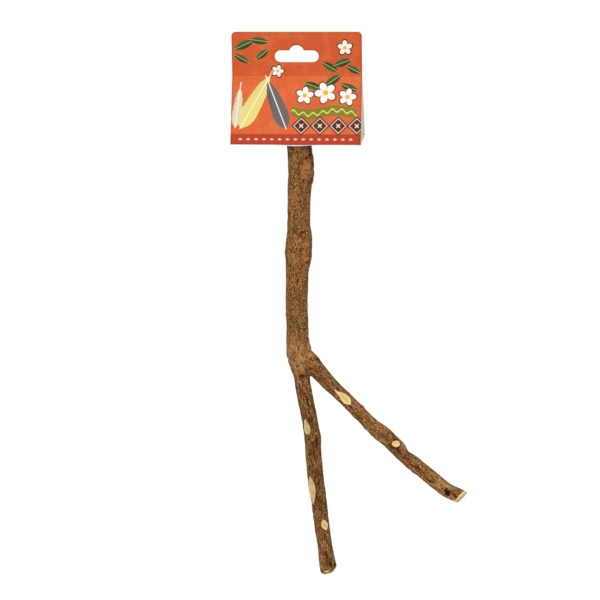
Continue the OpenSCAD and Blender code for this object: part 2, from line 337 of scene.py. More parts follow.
def limb_skin(bm, limb):
    """Skins a limb: circles along its line, whose lobes turn with it, each bridged to the last."""
    last = None
    for i in range(0, len(limb.at), 2):
        stand = stood(limb.at[i], limb.right[i], limb.front[i], limb.way[i])
        circle = bmesh.ops.create_circle(bm, cap_ends=i in (0, len(limb.at) - 1), segments=RING_SIDES,
                                         radius=limb.radius[i], matrix=stand)["verts"]
        turn = math.radians(40) * limb.step[i]
        for vert in circle:
            arm = vert.co - Vector(limb.at[i])
            angle = math.atan2(arm.dot(limb.front[i]), arm.dot(limb.right[i]))
            vert.co += arm * (0.03 * math.sin(2 * angle + turn) + 0.022 * math.sin(3 * angle - 2 * turn)
                              + 0.012 * math.sin(5 * angle + 3 * turn))
        edges = list({edge for vert in circle for edge in vert.link_edges})
        if last:
            bmesh.ops.bridge_loops(bm, edges=last + edges)
        last = edges


def shaped_by(piece, **modifiers):
    """The mesh of a piece after a row of modifiers, each named with its settings."""
    for kind, settings in modifiers.items():
        modifier = piece.modifiers.new(kind, kind)
        for name, value in settings.items():
            setattr(modifier, name, value)
    return bpy.data.meshes.new_from_object(piece.evaluated_get(bpy.context.evaluated_depsgraph_get()))


bm = bmesh.new()
for limb in (stem, main, side):
    limb_skin(bm, limb)
for limb, ring, facing, size, reach in KNOTS:
    place, out, way, thick = limb.frame_at(ring, facing)
    lie = stood(place + out * thick * (reach - size), out, way.cross(out), way)
    bmesh.ops.create_uvsphere(bm, u_segments=24, v_segments=16, radius=thick * size,
                              matrix=lie @ Matrix.Diagonal((1, 1, 1.25, 1)))
face_out(bm)
rough_branch = mesh_object("rough_branch", bm)
skin = shaped_by(
    rough_branch, REMESH={"mode": "VOXEL", "voxel_size": SKIN}, SMOOTH={"factor": 0.5, "iterations": 7})
bpy.data.objects.remove(rough_branch)

count = len(skin.vertices)
flat = np.zeros(count * 3, np.float32)
skin.vertices.foreach_get("co", flat)
place = flat.reshape(-1, 3).astype(float)
skin.vertex_normals.foreach_get("vector", flat)
normal = flat.reshape(-1, 3).astype(float)


def along_limb(limb):
    """Each vertex's place in a limb's own frame, straightened, and how far it lies from the limb's skin."""
    near = np.array([limb.tree.find(p)[1] for p in place])
    arm = place - limb.at[near]
    ahead = (arm * limb.way[near]).sum(1)
    right, front = (arm * limb.right[near]).sum(1), (arm * limb.front[near]).sum(1)
    straight = np.stack([right, front, limb.length[near] + ahead], 1)
    return straight, np.hypot(right, front) - limb.radius[near]


def ramp(value, low, high):
    """0 at low and 1 at high with a smooth rise between; high may be the lower."""
    t = np.clip((value - low) / (high - low), 0, 1)
    return t * t * (3 - 2 * t)


# The grain follows the stem and the main limb, and passes over to the side limb at the fork
on_trunk, off_trunk = along_limb(trunk)
on_side, off_side = along_limb(side)
on_side[:, 2] += stem.length[-1]
to_side = ramp(off_trunk - off_side, -1.5 * MM, 2.5 * MM)[:, None]
grain = on_trunk * (1 - to_side) + on_side * to_side


def bark_noise(across, along, octaves, shift):
    """Noise over the straightened bark, with its grain in mm across and along the limb."""
    spots = grain / MM / (across, across, along) + shift
    return np.array([noise.fractal(p, 0.9, 2, octaves) for p in spots])


class Mark:
    """A place on a limb's skin, and each vertex's distances from it: p along, q across and h out."""

    def __init__(self, limb, ring, facing, slant=0, all_round=False):
        centre, out, way, thick = limb.frame_at(ring, facing)
        aside = way.cross(out)
        c, s = turned(slant)
        self.out, self.thick = np.array(out), thick
        arm = place - np.array(centre + out * thick)
        self.p, self.q = arm @ np.array(way * c + aside * s), arm @ np.array(aside * c - way * s)
        self.h = arm @ self.out
        self.near = all_round or self.h > -0.8 * thick

    def half_width(self, length, width, point, fuller):
        """An oval's half width at each vertex's place along it: 0.5 gives round ends and 1 pointed ones."""
        share = np.clip(2 * self.p / length, -1, 1)
        return width / 2 * (1 - share**2) ** point * (1 + fuller * share)

    def inside(self, half_width, length):
        """How far inside an oval each vertex lies, in metres, below nought outside."""
        ends = np.abs(self.p) - length / 2
        inside = np.where(ends > 0, -np.hypot(ends, self.q), half_width - np.abs(self.q))
        return np.where(self.near, inside.clip(-0.01, 0.01), -0.01)

    def spot(self, length, width, soft):
        """1 at the middle of an oval, falling softly to 0 at its edge."""
        return np.where(self.near, ramp(np.hypot(2 * self.p / length, 2 * self.q / width), 1, 1 - soft), 0)


# Pruned twigs: the limb and ring, the way each faces, its length and width in mm, its slant, how pointed it
# is, how much fuller its lower end is, how high its collar of bark is, and how grey its wood has dried
CUTS = (
    (main, 6.42, 248, 11.9, 5, -3, .45, .3, .2, .8), (main, 11.68, 230, 22.5, 6.6, 0, .9, -.1, .15, .8),
    (main, 14.04, 299, 9.4, 5.4, -8, 1.05, .1, .3, .2), (side, 4.4, 292, 13.8, 6, 2, .85, .35, .25, 0),
    (side, 4.13, 276, 12, 1.5, 9, .9, -.5, .1, 0), (side, 8.6, 306, 6.5, 5.1, -45, .55, .1, .8, 0),
    (main, 19.06, 262, 1.1, 6.5, -12, .6, .1, 0, .5), (side, 13.2, 95, 6.9, 4.4, 0, .7, 0, .35, .5),
    (stem, 13.6, 95, 9, 6, 5, .7, .1, .3, .8), (main, 9.4, 60, 7.5, 4.6, 0, .8, 0, .35, .3),
    (stem, 7.2, 40, 5, 4.2, 0, .5, 0, .6, .5))

# Healed buds: a round lump in a groove, with its length, width and height in mm, and its slant if any
BUDS = (
    (side, .6, 322, 6.4, 6, 1.2, 10), (side, 5.25, 0, 5, 4, .7), (side, 9.05, 352, 18, 9, .7),
    (side, 1, 5, 7, 6, .5), (main, 8.1, 322, 5, 3.4, .55, -30), (stem, 3.35, 314, 18, 12, .25),
    (stem, 18.5, 350, 12, 9, .65), (stem, 16.4, 200, 7, 6, .6), (stem, 8.3, 120, 6, 7, .7),
    (stem, 12.1, 322, 5.5, 5.5, .45), (main, 12.6, 60, 5, 4.6, .6), (side, 6.4, 60, 5.2, 4.6, .6),
    (side, 5.9, 330, 5.5, 4.2, .5), (side, 10.9, 300, 9, 4.4, .4), (main, 4.2, 150, 5.5, 5, .6))

# Smooth patches, with their length and width in mm, their colour, which is salmon above nought, red above
# one and maroon below nought, and their slant if any
PATCHES = (
    (stem, 3.4, 313, 20, 13, .95), (stem, 9.25, 285, 9, 4.2, -.6), (stem, 11.3, 313, 20, 7, 1.05),
    (stem, 12.1, 322, 5, 5, 1), (side, .6, 318, 7.5, 6.4, .6, 10), (side, .5, 336, 3.2, 4.4, 1.4, 20),
    (stem, 18.9, 308, 8, 7, .7), (side, 1.5, 266, 12, 2, 1.2, 6), (side, 1.9, 286, 7, 2, -.8),
    (side, 3.4, 300, 15, 4, 1.1), (side, 9.3, 283, 6, 3.2, -1.2), (side, 10.4, 291, 9, 3.4, -1.3),
    (side, 11.3, 290, 9, 3.2, -1.3), (side, 3.3, 300, 6, 2.4, -.6), (side, 15.3, 252, 8, 3.4, .9),
    (side, 15.8, 300, 5, 3, .8), (side, 7.2, 318, 14, 2, .7), (main, 5.2, 285, 12, 3, -1),
    (main, 8.2, 300, 18, 3, -.8), (main, 12.9, 268, 11, 3.2, -.8), (main, 1.1, 265, 6, 4, -.8),
    (main, 1.3, 325, 5, 3.4, -.9), (main, 10.4, 285, 16, 3.2, -.7), (stem, 15.6, 285, 12, 2.4, -.8),
    (stem, 6.6, 130, 14, 6, .6), (stem, 15, 30, 15, 5, .5), (side, 7, 110, 12, 3.4, -.7),
    (main, 7, 150, 13, 4, -.6))

# Dark cracks, pits and holes: their length, width and depth in mm, and their slant if any. The wide soft one
# on the main limb just below the fork is painted shade under the burl
CRACKS_AND_PAINTED_SHADE = (
    (stem, 1.85, 330, 3, 8, .2, -14), (stem, 2, 306, 5, 2.2, .15, 52), (stem, 2.7, 284, 6, 1.6, .2, -20),
    (stem, 2.8, 356, 21, 3.6, .2), (stem, 1.4, 340, 7, 4, .3), (stem, 4.25, 292, 6.5, 1.6, .4, 42),
    (stem, 4.6, 320, 7, 1.5, .3, -34), (stem, 2.6, 273, 2.4, 2.4, .3), (stem, .9, 241, 3.2, 2.6, .4),
    (stem, .85, 327, 4, 2.4, .4, -10), (stem, 1.25, 260, 2.2, 2.8, .4, -20), (stem, 5.1, 275, 3, 1.2, .2),
    (stem, 8.7, 296, 2.4, 5.5, .2, 8), (stem, 9.7, 320, 4, 1.3, .25, 25), (stem, 9.1, 280, 2.2, 2, .2),
    (stem, 12.55, 333, 1.6, 6, .4, 5), (stem, 14.6, 279, 9, 1.3, .3), (stem, 19.3, 296, 1.3, 6, .25, 35),
    (stem, 19.95, 255, 4.2, 3, .35, -20), (main, .6, 270, 5, 2.8, .4, 25), (main, 1.9, 288, 5, 9.5, .3, 8),
    (main, 2.5, 280, 9, 2.4, .3), (side, 1.25, 251, 3.6, 3, .35), (main, 8.6, 283, 13, 1.6, .3),
    (main, 4.5, 290, 14, 1.6, .3), (main, 6, 276, 10, 1.4, .25), (main, 13, 300, 5, 1.8, .3),
    (main, 15.4, 296, 7, 1.8, .35), (main, 17, 285, 9, 1.4, .3), (side, .7, 313, 1.7, 3.8, .4, -20),
    (side, 1.15, 348, 6, 3.4, .35, 20), (side, .98, 336, 2.2, 3.6, .3, 10), (side, 4.9, 268, 9, 1.6, .3),
    (side, 9.15, 284, 4.5, 2, .35, 22), (side, 10.1, 288, 4, 1.5, .3), (side, 10.8, 262, 7, 1.1, .35),
    (side, 11.3, 282, 6, 1.1, .4), (side, 11.6, 252, 9, 1.2, .5), (side, 12.4, 277, 9, 1.1, .4),
    (side, 12.7, 246, 11, 1.3, .6), (side, 13.1, 262, 8, 1.1, .45), (side, 14.75, 262, 6, 6.6, 1, 10),
    (side, 14.45, 286, 2.4, 5, .5), (side, 15.6, 280, 11, 2.2, .4, 8), (side, 15.7, 268, 9, 1.8, .4, -4),
    (side, 14, 272, 1.6, 3.4, .3), (side, 7, 300, 7, 1.2, .2), (main, 18, 296, 6, 2.4, .3),
    (main, 18.5, 338, 5, 3, .4))

# Whole stretches that are paler than the rest, or darker below nought, with their length and width in mm.
# Some are painted light: the two dark stretches at the stem's top are painted shadow under the card and
# washer, the dark stretch down the stem's right rim is painted shade, and the pale line along the side limb's
# upper edge near its tip is a painted highlight
TONES_AND_PAINTED_LIGHT = (
    (stem, 19.4, 285, 46, 44, 1.15), (stem, .3, 290, 12, 44, -.55), (stem, 1, 335, 24, 16, -.5),
    (stem, 3, 8, 28, 9, -.8), (stem, 3, 300, 40, 30, .15), (main, 9.5, 290, 320, 90, -.55),
    (side, 14, 290, 34, 30, .55), (side, 15.2, 338, 24, 3.4, 1), (side, 3.5, 300, 40, 30, -.1),
    (side, 9.6, 290, 18, 22, -.3), (main, .8, 280, 16, 14, .5), (main, 18, 275, 30, 30, .15))

# Relief: lumps and long plates all over, then each scar, bud, patch and crack in its place
lumps = bark_noise(9, 14, 2, 3.1)
knobs = bark_noise(4.2, 6.5, 2, 88.3)
plates = bark_noise(2.2, 6.5, 2, 17.7)
seams = ramp(np.abs(bark_noise(3.2, 14, 1, 41.3)), 0.15, 0.02)
grit = bark_noise(1.25, 1.9, 1, 63.9)
calm = np.ones(count)
patch, tone = np.zeros(count), np.zeros(count)
wander = 1 + 0.5 * lumps + 0.35 * plates
for limb, ring, facing, length, width, depth, *slant in PATCHES:
    mark = Mark(limb, ring, facing, *slant)
    share = mark.spot(length * wander * MM, width * wander * MM, 0.55)
    patch += share * depth
    calm *= 1 - 0.55 * share * abs(depth)
# The tone holds real paler and darker stretches, and also painted shadow, painted shade and a painted
# highlight
for limb, ring, facing, length, width, change in TONES_AND_PAINTED_LIGHT:
    mark = Mark(limb, ring, facing, all_round=True)
    tone += mark.spot(length * MM, width * MM, 0.9) * change
relief = (0.24 * lumps + 0.16 * knobs + calm * (0.15 * plates + 0.1 * grit - 0.18 * seams)) * MM
# The crack value darkens the bark in seams, cracks and pits, and as painted shade in the grooves round buds
# and round the cut scars' lips
crack_and_painted_shade = seams * 0.45 * calm
for limb, ring, facing, length, width, height, *slant in BUDS:
    mark = Mark(limb, ring, facing, *slant)
    reach = np.hypot(2 * mark.p / (length * MM), 2 * mark.q / (width * MM)) * (1 + 0.12 * plates)
    lump = np.where(mark.near, ramp(reach, 1, 0.35), 0)
    groove = np.where(mark.near, ramp(reach, 0.8, 1) * ramp(reach, 1.35, 1.05), 0)
    relief += (lump * height - groove * (0.1 + 0.22 * height)) * MM
    # The groove is painted dark as painted shade round the lump
    crack_and_painted_shade = np.maximum(crack_and_painted_shade, groove * (0.15 + 0.35 * height) * np.clip(0.6 + 2.2 * grit, 0, 1))
for limb, ring, facing, length, width, depth, *slant in CRACKS_AND_PAINTED_SHADE:
    mark = Mark(limb, ring, facing, *slant)
    share = mark.spot(length * (1 + 0.3 * grit) * MM, width * (1 + 0.5 * grit) * MM, 0.7)
    relief -= share * depth * MM
    crack_and_painted_shade = np.maximum(crack_and_painted_shade, share * (0.45 + depth + 0.5 * grit))
place += normal * relief[:, None]

# Each cut is a flat bed sunk into the limb, with a lip of bark round it and a dark line inside the lip, which
# is painted shadow of the lip
cut, dried = np.full(count, -0.01), np.zeros(count)
for limb, ring, facing, length, width, slant, point, fuller, lip, grey in CUTS:
    mark = Mark(limb, ring, facing, slant)
    edge = mark.half_width(length * MM, width * MM, point, fuller)
    inside = mark.inside(edge, length * MM) + ((0.17 + 0.25 * lip) * plates + (0.1 + 0.3 * lip) * grit) * MM
    bed = -edge**2 / (2 * mark.thick) - (0.25 - lip * 0.6) * MM - 0.12 * MM * ramp(inside, 0, 2 * MM)
    sink = np.where(inside > 0, mark.h - bed, 0) * ramp(inside, 0, 0.35 * MM)
    rise = lip * MM * ramp(inside, -1.6 * MM, -0.4 * MM) * ramp(inside, 0.15 * MM, -0.15 * MM)
    place += mark.out * (rise - sink)[:, None]
    # The dark line inside the lip is painted shadow, laid into the crack value and the maroon of the patch
    # value
    rim = ramp(inside, -(0.6 + 1.6 * lip) * MM, -(0.3 + 0.9 * lip) * MM) * ramp(inside, 0.05 * MM, -0.1 * MM)
    crack_and_painted_shade = np.maximum(crack_and_painted_shade, rim * (0.3 + 0.3 * lip))
    patch -= rim * lip * 2.4
    cut = np.maximum(cut, inside)
    dried[inside > -0.5 * MM] = grey

# The saw cuts: the top under the washer, and a slanting one across each limb's tip. Each has its place, the
# way it faces, and how far back from it the bark is chipped off, in mm
ENDS = (((0, 0, BRANCH_TOP), (0, 0, 1), 0), (main_rings[-2][:3], (.32, .3, -.9), .35),
        (side_rings[-2][:3], (.73, -.36, -.59), 1.5))
END_ZONE = 12 * MM
for centre, facing, chip in ENDS[1:]:
    arm = place - np.array(centre)
    past = arm @ np.array(facing) / np.linalg.norm(facing) + (chip + 1.1 * lumps + 0.5 * plates) * MM
    cut = np.where(np.linalg.norm(arm, axis=1) < END_ZONE, np.maximum(cut, past), cut)

skin.vertices.foreach_set("co", place.astype(np.float32).ravel())
grain_layer = skin.attributes.new("grain", "FLOAT_VECTOR", "POINT")
grain_layer.data.foreach_set("vector", grain.astype(np.float32).ravel())
# The marks that the bark's finish reads; the crack and tone values also hold painted shade, painted shadow
# and a painted highlight
MARKS_AND_PAINTED_LIGHT = {"cut": cut, "patch": patch, "crack_and_painted_shade": crack_and_painted_shade, "tone": tone, "relief": relief / MM, "dried": dried}
for name, values in MARKS_AND_PAINTED_LIGHT.items():
    skin.attributes.new(name, "FLOAT", "POINT").data.foreach_set("value", values.astype(np.float32))


def only(kind, results):
    """The verts, or the edges, among the results of a bmesh operator."""
    return [item for item in results if isinstance(item, kind)]


def saw(bm, centre, facing, hair):
    """Takes off all that lies past a plane, and gives the cut's edges."""
    geom = bm.verts[:] + bm.edges[:] + bm.faces[:]
    cut = bmesh.ops.bisect_plane(bm, geom=geom, dist=hair, plane_co=centre, plane_no=facing, clear_outer=True)
    return only(bmesh.types.BMEdge, cut["geom_cut"])


bm = bmesh.new()
bm.from_mesh(skin)
for face in bm.faces:
    face.smooth = True
for centre, facing, _ in ENDS:
    rim = saw(bm, centre, Vector(facing).normalized(), 1e-7)
    end = bmesh.ops.contextual_create(bm, geom=rim)["faces"]
    bmesh.ops.inset_region(bm, faces=end, thickness=0.55 * MM, depth=0)
    for face in end:
        face.material_index, face.smooth = 1, False
    for edge in rim:
        edge.smooth = False
face_out(bm)


def bark_finish():
    """Bark: tan and brown strokes, olive and red in places, pale flecks, dark cracks, pale wood in cuts, and
    painted light: painted shade in hollows, grooves and round the scars' lips, and painted shadow, shade and
    highlight in a few stretches.
    """
    made, wire, plug = finish("bark", Roughness=0.85, Specular_IOR_Level=0.08)
    grain = wire.add("Attribute", {"attribute_name": "grain"}, out=1)
    cut, patch, crack_and_painted_shade, tone, relief, dried = (
        wire.add("Attribute", {"attribute_name": name}, out=2) for name in MARKS_AND_PAINTED_LIGHT)
    on_limbs = grain.split()[2].step(0.158, 0.185)

    def drawn(across, along, *rest):
        """Noise drawn out along the stick."""
        return grain.stretch(across, along).grains(1, *rest)

    def streaks(across, along, along_limbs, *rest):
        """The same, drawn out further on the limbs than on the stem."""
        short, long = (drawn(across, reach, *rest) for reach in (along, along_limbs))
        return short + (long - short) * on_limbs

    strokes = streaks(2000, 800, 330, 3, 0.6, 0.5)
    flecks = streaks(1800, 1100, 700, 2, 0.55)
    blots = streaks(620, 280, 130, 3, 0.65, 0.4)
    scrapes = streaks(1050, 420, 170, 2, 0.6, 0.7)
    broad = drawn(90, 45, 2, 0.6)
    olive = streaks(330, 170, 70, 3, 0.6, 0.5)
    red = streaks(360, 150, 60, 3, 0.6, 0.8)
    specks = grain.stretch(460, 300).cells(1)
    crumbs = grain.stretch(520, 330).cells(0.93)
    fibre = drawn(2800, 700, 3, 0.6)
    broken = (strokes - 0.5) * 1.6 + (blots - 0.5) * 1.2 + (flecks - 0.5) * 0.8
    smooth = (patch + broken * patch.step(0, 0.5)).step(0.15, 0.85)
    deep = ((patch + broken * patch.step(0, -0.5)) * -1).step(0.15, 0.85)

    colour = wire.colour(paint(149, 99, 49)).under(
        ((106, 62, 20), blots.step(0.49, 0.62) * 0.85),
        ((122, 104, 44), olive.step(0.51, 0.61) * 0.75),
        ((150, 72, 38), red.step(0.53, 0.62) * 0.8),
        ((172, 102, 60), smooth * 0.75),
        ((106, 42, 26), deep * 0.95),
        ((226, 178, 122), flecks.step(0.52, 0.64) * (1 - crack_and_painted_shade) * (0.9 - 0.4 * smooth - 0.6 * deep)),
        ((196, 90, 44), patch.step(1, 1.5) * blots.step(0.56, 0.44) * 0.85),
        ((52, 29, 2), strokes.step(0.49, 0.38) * (0.95 - 0.2 * smooth - 0.5 * deep)),
        ((68, 40, 8), scrapes.step(0.45, 0.35) * (0.9 - 0.2 * smooth - 0.5 * deep)),
        ((190, 134, 82), scrapes.step(0.57, 0.67) * 0.5),
        # Painted shade in the relief's hollows and a painted highlight on its ridges
        ((84, 52, 14), relief.step(-0.06, -0.34) * 0.5),
        ((196, 150, 100), relief.step(0.14, 0.42) * 0.25),
        ((240, 208, 150), crumbs.step(0.18, 0.09) * flecks.step(0.5, 0.56) * 0.9),
        ((38, 24, 2), specks.step(0.24, 0.12) * blots.step(0.46, 0.56) * 0.9),
        # Paler or darker by the tone, which carries real stretches and also painted shadow, painted shade and
        # a painted highlight
        ((180, 152, 98), tone.step(0.1, 1.2) * olive.step(0.38, 0.56) * 0.5))
    colour = colour.lit(1.03 + tone * 0.5 - tone.largest(0) * 0.25 + (broad - 0.5) * 0.9).under(
        # Dark in cracks and seams, and painted shade in bud grooves, round the scars' lips and below the fork
        ((58, 28, 6), (crack_and_painted_shade + (strokes - 0.5) * -0.9).step(0.25, 0.8) * 0.9),
        ((28, 12, 4), crack_and_painted_shade.step(0.85, 1.1) * 0.8))

    wood_fibre = drawn(1500, 160, 3, 0.55, 0.4)
    wood_cloud = drawn(420, 300, 2)
    depth = cut * 1000 + (fibre - 0.5) * 0.5 + (blots - 0.5) * 0.7
    wood = wire.colour(paint(242, 214, 158)).under(
        ((220, 190, 112), (depth + wood_cloud * 1.8).step(1.2, 2.4) * 0.8),
        ((244, 228, 180), wood_fibre.step(0.5, 0.72) * 0.5),
        ((170, 146, 76), (depth + wood_cloud * 1.6).step(2.9, 3.3) * wood_fibre.step(0.46, 0.58) * 0.5),
        ((232, 176, 112), (depth + wood_cloud * 1.4 - 0.7).step(0.85, 0.15) * 0.75),
        ((200, 168, 108), wood_fibre.step(0.48, 0.34) * 0.5))
    wood = wood.lit(1.14).under(
        ((204, 188, 136), dried * 0.7),
        ((168, 148, 92), (wood_cloud + depth * 0.03).step(0.52, 0.68) * (0.25 + 0.4 * dried)))
    bare_wood = depth.step(-0.1, 0.12)
    colour = colour.tint(wood, bare_wood)

    rough = strokes * 0.6 + flecks * 0.45 + fibre * 0.25 + blots * 0.5
    height = rough * (1 - 0.8 * bare_wood) * (1 - 0.4 * smooth)
    plug(Base_Color=colour, Roughness=0.92 - 0.2 * smooth - 0.15 * bare_wood,
         Normal=height.bump(0.8, 0.4 * MM))
    return made


def end_grain_finish():
    """Sawn ends: pale wood with soft clouds, fine pores and darker bands across."""
    made, wire, plug = finish("sawn_wood", Roughness=0.8, Specular_IOR_Level=0.12)
    spot = wire.add("TexCoord", out=3)
    cloud = spot.grains(260, 3, 0.6)
    pores = spot.grains(2600, 2, 0.5)
    bands = spot.add("TexWave", {"wave_type": "BANDS", "bands_direction": "DIAGONAL"}, {
        "Vector": spot, "Scale": 160, "Distortion": 6, "Detail": 2, "Detail Scale": 1.2}, out=1)
    colour = wire.colour(paint(230, 210, 160)).under(
        ((214, 188, 130), cloud.step(0.42, 0.66) * 0.7),
        ((244, 228, 188), pores.step(0.5, 0.7) * 0.7),
        ((172, 140, 88), bands.step(0.62, 0.95) * 0.45))
    plug(Base_Color=colour, Normal=(pores + bands * 0.4).bump(0.4, 0.15 * MM))
    return made


branch = mesh_object("bark_branch", bm, bark_finish(), end_grain_finish())
bpy.data.meshes.remove(skin)
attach(branch, "perch")
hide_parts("branch")

# ---------- Hanger bolt ----------
# A plated steel stud: a coarse thread screwed into the stem's end, a plain
# shank, and a fine machine thread with a chamfered tip above the washer.

STUD_R, STUD_TIP, SHANK_R = 2.95 * MM, 24 * MM, 2.6 * MM
SHANK_END, WOOD_END, POINT_R, CHAMFER = -7.5 * MM, -33.5 * MM, 0.3 * MM, 0.8 * MM
TURN_STEPS = 36          # faces in one turn of a thread


def thread_skin(bm, root, crest, pitch, low, high):
    """One thread between two heights: its profile turned up a helix, then sawn level at both ends."""
    profile = [bm.verts.new((r, 0, low - pitch + share * pitch))
               for r, share in ((root, 0), (crest, .38), (crest, .52), (root, .9), (root, 1))]
    lines = [bm.edges.new(pair) for pair in zip(profile, profile[1:])]
    turns = math.ceil((high - low) / pitch) + 2
    bmesh.ops.spin(bm, geom=profile + lines, cent=(0, 0, 0), axis=(0, 0, 1), dvec=(0, 0, pitch / TURN_STEPS),
                   angle=turns * math.tau, steps=TURN_STEPS * turns, use_duplicate=False)
    bmesh.ops.remove_doubles(bm, verts=bm.verts, dist=pitch / 500)
    for height, way in ((low, -1), (high, 1)):
        bmesh.ops.contextual_create(bm, geom=saw(bm, (0, 0, height), (0, 0, way), 1e-8))


def rod(bm, radius, length, place, sides=48, top=None):
    """A closed cylinder, or a cone with another radius at its top, upright until its place turns it."""
    bmesh.ops.create_cone(
        bm, cap_ends=True, segments=sides, radius1=radius, radius2=top or radius, depth=length, matrix=place)


def zinc_finish(name, tone, rough, drift):
    """Bright zinc on steel: a pale metal with faint clouding and fine wear marks."""
    made, wire, plug = finish(name, Metallic=1)
    spot = wire.add("TexCoord", out=3)
    cloud, fine = spot.grains(240, 3, 0.6), spot.grains(2400, 2, 0.6)
    colour = wire.colour(paint(*tone)).under(
        ([c * 0.86 for c in tone], cloud.step(0.42, 0.66) * drift),
        ((236, 232, 216), fine.step(0.55, 0.75) * 0.25))
    plug(Base_Color=colour, Roughness=rough + (cloud - 0.5) * 0.2, Normal=fine.bump(0.15, 0.05 * MM))
    return made


# Each thread: its root and crest, its pitch, its lower and upper end
THREADS = ((2.35 * MM, STUD_R, MM, BRANCH_TOP, STUD_TIP), (2 * MM, 2.9 * MM, 2.5 * MM, WOOD_END, SHANK_END))
bolt_pieces = bmesh.new()
for root, crest, pitch, low, high in THREADS:
    bm = bmesh.new()
    thread_skin(bm, root, crest, pitch, low, high)
    for vert in bm.verts:       # drawn in to the chamfered tip above and to the point below
        limit = max(POINT_R, min((STUD_TIP - vert.co.z) + STUD_R - CHAMFER, (vert.co.z - WOOD_END) * 0.5))
        reach = math.hypot(vert.co.x, vert.co.y)
        if reach > limit:
            vert.co.xy *= limit / reach
    part = bpy.data.meshes.new("part")
    bm.to_mesh(part)
    bm.free()
    bolt_pieces.from_mesh(part)
    bpy.data.meshes.remove(part)
rod(bolt_pieces, SHANK_R, BRANCH_TOP - SHANK_END, Matrix.Translation((0, 0, (BRANCH_TOP + SHANK_END) / 2)))
face_out(bolt_pieces)
bolt = mesh_object("threaded_bolt", bolt_pieces, zinc_finish("bolt_zinc", (232, 232, 228), 0.36, 0.6))
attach(bolt, "perch")
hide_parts("hanger_bolt")

# ---------- Washers ----------
# Two wide stamped washers of plated steel with eased edges, one against the
# stick's end and one inside the card, with the card's floor between them.

WASHER_R, WASHER_HOLE_R, WASHER_T, EASED = 16 * MM, 3.2 * MM, 1.5 * MM, 0.32 * MM


def washer_skin(foot):
    """A flat ring: a rectangle spun once round, with its four round edges eased."""
    bm = bmesh.new()
    corners = [bm.verts.new((r, 0, foot + h)) for r, h in
               ((WASHER_HOLE_R, 0), (WASHER_R, 0), (WASHER_R, WASHER_T), (WASHER_HOLE_R, WASHER_T))]
    sides = [bm.edges.new(pair) for pair in zip(corners, corners[1:] + corners[:1])]
    bmesh.ops.spin(
        bm, geom=corners + sides, cent=(0, 0, 0), axis=(0, 0, 1), angle=math.tau, steps=96, use_merge=True)
    bmesh.ops.remove_doubles(bm, verts=bm.verts, dist=1e-6)
    round_edges = [e for e in bm.edges if abs(e.verts[0].co.xy.length - e.verts[1].co.xy.length) < 1e-6
                   and abs(e.verts[0].co.z - e.verts[1].co.z) < 1e-6]
    bmesh.ops.bevel(bm, geom=round_edges, offset=EASED, segments=3, profile=0.5, affect="EDGES", material=-1)
    face_out(bm)
    for face in bm.faces:
        face.smooth = True
    return bm


washer_zinc = zinc_finish("washer_plating", (234, 233, 228), 0.36, 0.5)
for name, node, body, foot in (("stamped_washer_under_card", "inner_washer", "perch", -WASHER_T),
                               ("stamped_washer_in_card", "outer_washer", "washer", 0.5 * MM)):
    washer = mesh_object(name, washer_skin(foot), washer_zinc)
    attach(washer, body)
    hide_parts(node)

# ---------- Wing nut ----------
# A cast nut with a tapered boss and two flat wings with round tips, plated.
# Its parts are fused and softened as a casting is, and its bore is cut clean.

NUT_FOOT, BOSS_H, BOSS_FOOT_R, BOSS_TOP_R = 2 * MM, 7 * MM, 6.25 * MM, 5 * MM
WING_REACH, WING_H, WING_T, WING_TIP_R, BORE_R = 12.5 * MM, 11 * MM, 2.2 * MM, 3.4 * MM, 3.07 * MM
# One wing's outline below its round tip, in mm out from the axis and up from the nut's foot
WING = ((0, 1.4), (6.2, 1.4), (11.9, 5.7), (9.1, 7.6), (7.7, 10.7), (5, 6.3), (0, 6.3))


def block(bm, outline, depth):
    """A block with an outline drawn from the front, reaching to a depth on both sides of the middle."""
    face = bm.faces.new([bm.verts.new((x, -depth, z)) for x, z in outline])
    grown = bmesh.ops.extrude_face_region(bm, geom=[face])["geom"]
    bmesh.ops.translate(bm, verts=only(bmesh.types.BMVert, grown), vec=(0, 2 * depth, 0))


bm = bmesh.new()
rod(bm, BOSS_FOOT_R, BOSS_H, Matrix.Translation((0, 0, NUT_FOOT + BOSS_H / 2)), 64, BOSS_TOP_R)
for way in (1, -1):
    tip = Vector((way * (WING_REACH - WING_TIP_R), 0, NUT_FOOT + WING_H - WING_TIP_R))
    rod(bm, WING_TIP_R, WING_T, Matrix.Translation(tip) @ Matrix.Rotation(math.pi / 2, 4, "X"))
    block(bm, [(way * x * MM, NUT_FOOT + z * MM) for x, z in WING], WING_T / 2)
face_out(bm)
rough_nut = mesh_object("rough_nut", bm)
bm = bmesh.new()
rod(bm, BORE_R, 20 * MM, Matrix.Translation((0, 0, NUT_FOOT + 5 * MM)), 64)
bore = mesh_object("bore_cutter", bm)
cast = shaped_by(
    rough_nut, REMESH={"mode": "VOXEL", "voxel_size": 0.24 * MM, "use_smooth_shade": True},
    SMOOTH={"factor": 0.5, "iterations": 8}, BOOLEAN={"object": bore, "operation": "DIFFERENCE"})
bm = bmesh.new()
bm.from_mesh(cast)
nut = mesh_object("cast_wing_nut", bm, zinc_finish("nut_plating", (230, 229, 222), 0.42, 0.7))
for spare in (rough_nut, bore):
    bpy.data.objects.remove(spare)
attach(nut, "nut")
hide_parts("wing_nut")

# ---------- Header card ----------
# One strip of printed card, cream inside and on its cut edges: a hang tab of
# two layers with a slot, a crease, a front panel, a floor that the stud goes
# through and a back panel, under a plain print of leaves and blossoms.

